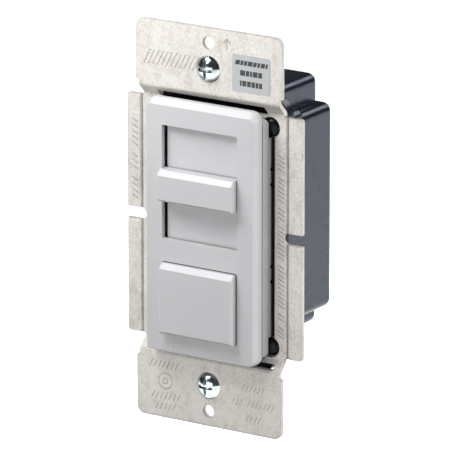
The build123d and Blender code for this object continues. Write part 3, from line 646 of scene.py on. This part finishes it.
def add_strap_marks():
    """Slanted strokes, outlined bars, an up arrow and a ring, pressed into the strap."""
    top = strap_high.z
    arrow = up_arrow(ARROW_X, top - ARROW_DROP, ARROW_SIZE)
    bars = slanted_boxes((BARS_START_X, top - BARS_DROP), BARS_PITCH, BARS_HEIGHT, BARS_COUNT)
    add_stamping("upper_tab_stamping", TAB_FRONT_Y, arrow, bars)

    bottom = strap_low.z
    strokes = []
    for row in LOWER_TAB_ROWS:
        strokes += hatch_row(row, bottom, (1, 0))
    ring = circle_points(RING_X, bottom + RING_RISE, RING_R, RING_SEGMENTS)
    dot = circle_points(RING_X, bottom + RING_RISE, RING_DOT_R, RING_SEGMENTS // 2)
    add_stamping("lower_tab_stamping", TAB_FRONT_Y, strokes, [ring, dot])

    add_stamping("left_fin_stamping", PLATE_FRONT_Y, hatch_row(LEFT_FIN_ROW, 0, (0, 1)))
    add_stamping("right_plate_stamping", PLATE_FRONT_Y, hatch_row(RIGHT_PLATE_ROW, 0, (0, 1)))


# ---------------------------------------------------------------- print on the rating label

PRINT_HEIGHT = 0.012 * MM
PRINT_GAP = 0.22 * MM

# Lines of dashes, in mm: drop from the label's top, height, widths, lean
PRINT_LINES = (
    (2.5, 1.2, (1.3, 0.8, 0.9, 1.4, 1.0, 0.8, 1.2, 0.6), 0.3),
    (5.2, 1.4, (1.5, 1.0, 0.6, 1.4, 1.1), 0.0),
    (7.9, 1.4, (0.5, 1.2, 1.1, 1.0, 0.8, 0.9), 0.0),
)


def add_block(bm, x_low, x_high, z_low, z_high, y_front, y_back, lean):
    """A small block that leans sideways by lean at its top."""
    corners = [(x_low, z_low, 0), (x_high, z_low, 0), (x_high, z_high, lean), (x_low, z_high, lean)]
    front = [bm.verts.new((x + shift, y_front, z)) for x, z, shift in corners]
    back = [bm.verts.new((x + shift, y_back, z)) for x, z, shift in corners]
    join_rings(bm, [front, back])


def add_label_print():
    """Three lines of plain dashes in place of wording."""
    low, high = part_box("rating_label")
    centre = (low.x + high.x) / 2
    front_y = low.y - PRINT_HEIGHT
    back_y = low.y + PRINT_HEIGHT
    bm = bmesh.new()
    for drop, height, widths, lean in PRINT_LINES:
        z = high.z - drop * MM
        length = sum(widths) * MM + PRINT_GAP * (len(widths) - 1)
        x = centre - length / 2
        for width in widths:
            width *= MM
            add_block(bm, x, x + width, z, z + height * MM, front_y, back_y, lean * MM)
            x += width + PRINT_GAP
    mesh_piece("label_print", finish_mesh(bm, "label_print"), "device", INK)


# ---------------------------------------------------------------- screws

THREAD_PITCH = 0.794 * MM
THREAD_ROOT = 1.32 * MM
THREAD_CREST = 1.74 * MM
THREAD_START_Y = 2.4 * MM
THREAD_END_GAP = 0.5 * MM
THREAD_SEGMENTS = 24
RIDGE_SINK = 0.1 * MM
RIDGE_HALF_SHARE = 0.44
CREST_SHARE = 0.16
NECK_MARGIN = 0.05 * MM
SCREW_SMOOTH_ANGLE = math.radians(32)


def narrowed_screw(node, axis_z):
    """A copy of the CAD screw whose threaded part is cut down to the thread's root."""
    bm = bmesh.new()
    bm.from_mesh(nodes[node].data)
    for vert in bm.verts:
        if vert.co.y > THREAD_START_Y - NECK_MARGIN:
            across = Vector((vert.co.x, vert.co.z - axis_z))
            if across.length > THREAD_ROOT:
                across *= THREAD_ROOT / across.length
                vert.co.x = across.x
                vert.co.z = axis_z + across.y
    return bm


def add_thread(bm, axis_z, end_y):
    """One helical ridge from the neck to the tip, fading out at both ends."""
    half = THREAD_PITCH * RIDGE_HALF_SHARE
    flat = half * CREST_SHARE
    root = THREAD_ROOT - RIDGE_SINK
    turns = (end_y - THREAD_START_Y - 2 * half) / THREAD_PITCH
    steps = int(turns * THREAD_SEGMENTS)
    rings = []
    for step in range(steps + 1):
        angle = math.tau * step / THREAD_SEGMENTS
        y = THREAD_START_Y + half + THREAD_PITCH * step / THREAD_SEGMENTS
        fade = min(1, step / THREAD_SEGMENTS, (steps - step) / THREAD_SEGMENTS)
        crest = THREAD_ROOT + (THREAD_CREST - THREAD_ROOT) * fade
        ring = []
        for radius, shift in ((root, -half), (crest, -flat), (crest, flat), (root, half)):
            ring.append(bm.verts.new((
                radius * math.cos(angle), y + shift, axis_z + radius * math.sin(angle))))
        rings.append(ring)
    join_rings(bm, rings)


def add_box_screw(node, body):
    """The box screw with a real thread."""
    low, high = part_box(node)
    axis_z = (low.z + high.z) / 2
    bm = narrowed_screw(node, axis_z)
    add_thread(bm, axis_z, high.y - THREAD_END_GAP)
    name = node + "_threaded"
    mesh = finish_mesh(bm, name, SCREW_SMOOTH_ANGLE)
    piece = mesh_piece(name, mesh, body, MATERIALS["zinc_steel"])
    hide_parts(node)


# ---------------------------------------------------------------- moulded mark on the face

RIB_COUNT = 5
RIB_START_X = -12.6 * MM
RIB_PITCH = 1.5 * MM
RIB_HALF_WIDTH = 0.28 * MM
RIB_BOTTOM_RISE = 1.7 * MM
RIB_TOP_RISE = 2.9 * MM
RIB_HEIGHT = 0.08 * MM
RIB_SINK = 0.1 * MM


def add_face_ribs():
    """Short raised ribs low on the face, in place of a name."""
    low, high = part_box("face_frame")
    crown = RIB_HALF_WIDTH / 2
    back_y = low.y + RIB_SINK
    top_y = low.y - RIB_HEIGHT
    profile = [
        (-RIB_HALF_WIDTH, back_y), (-RIB_HALF_WIDTH, low.y), (-crown, top_y),
        (crown, top_y), (RIB_HALF_WIDTH, low.y), (RIB_HALF_WIDTH, back_y),
    ]
    bm = bmesh.new()
    for index in range(RIB_COUNT):
        x = RIB_START_X + index * RIB_PITCH
        sweep_band(bm, [(x, low.z + RIB_BOTTOM_RISE), (x, low.z + RIB_TOP_RISE)], profile, False)
    mesh = finish_mesh(bm, "face_ribs")
    mesh_piece("face_ribs", mesh, "device", MATERIALS["face_plastic"])


# ---------------------------------------------------------------- pad spring

SPRING_WIRE_R = 0.35 * MM
SPRING_TURNS = 5
SPRING_STEPS = 32
SPRING_SIDES = 10
SPRING_SMOOTH_ANGLE = math.radians(50)

# How much closer the end turns lie than the middle ones: 0 is even, 1 is touching
END_CLOSING = 0.8


def add_spring_coil():
    """The pad's return spring, with closed end turns."""
    low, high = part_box("pad_spring")
    radius = (high.x - low.x) / 2 - SPRING_WIRE_R
    centre_z = (low.z + high.z) / 2
    length = high.y - low.y - 2 * SPRING_WIRE_R
    bm = bmesh.new()
    rings = []
    along = Vector((0, 1, 0))
    steps = SPRING_TURNS * SPRING_STEPS
    for step in range(steps + 1):
        share = step / steps
        angle = math.tau * step / SPRING_STEPS
        rise = share - END_CLOSING * math.sin(math.tau * share) / math.tau
        y = low.y + SPRING_WIRE_R + length * rise
        outward = Vector((math.cos(angle), 0, math.sin(angle)))
        centre = Vector((0, y, centre_z)) + radius * outward
        ring = []
        for side in range(SPRING_SIDES):
            turn = math.tau * side / SPRING_SIDES
            offset = math.cos(turn) * outward + math.sin(turn) * along
            ring.append(bm.verts.new(centre + SPRING_WIRE_R * offset))
        rings.append(ring)
    join_rings(bm, rings)
    mesh = finish_mesh(bm, "pad_spring_coil", SPRING_SMOOTH_ANGLE)
    piece = mesh_piece("pad_spring_coil", mesh, "device", MATERIALS["spring_steel"])
    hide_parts("pad_spring")
    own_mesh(piece)


add_strap_marks()
add_label_print()
add_box_screw("upper_box_screw", "upper_screw")
add_box_screw("lower_box_screw", "lower_screw")
add_face_ribs()
add_spring_coil()
add_camera()
add_studio()
add_world()
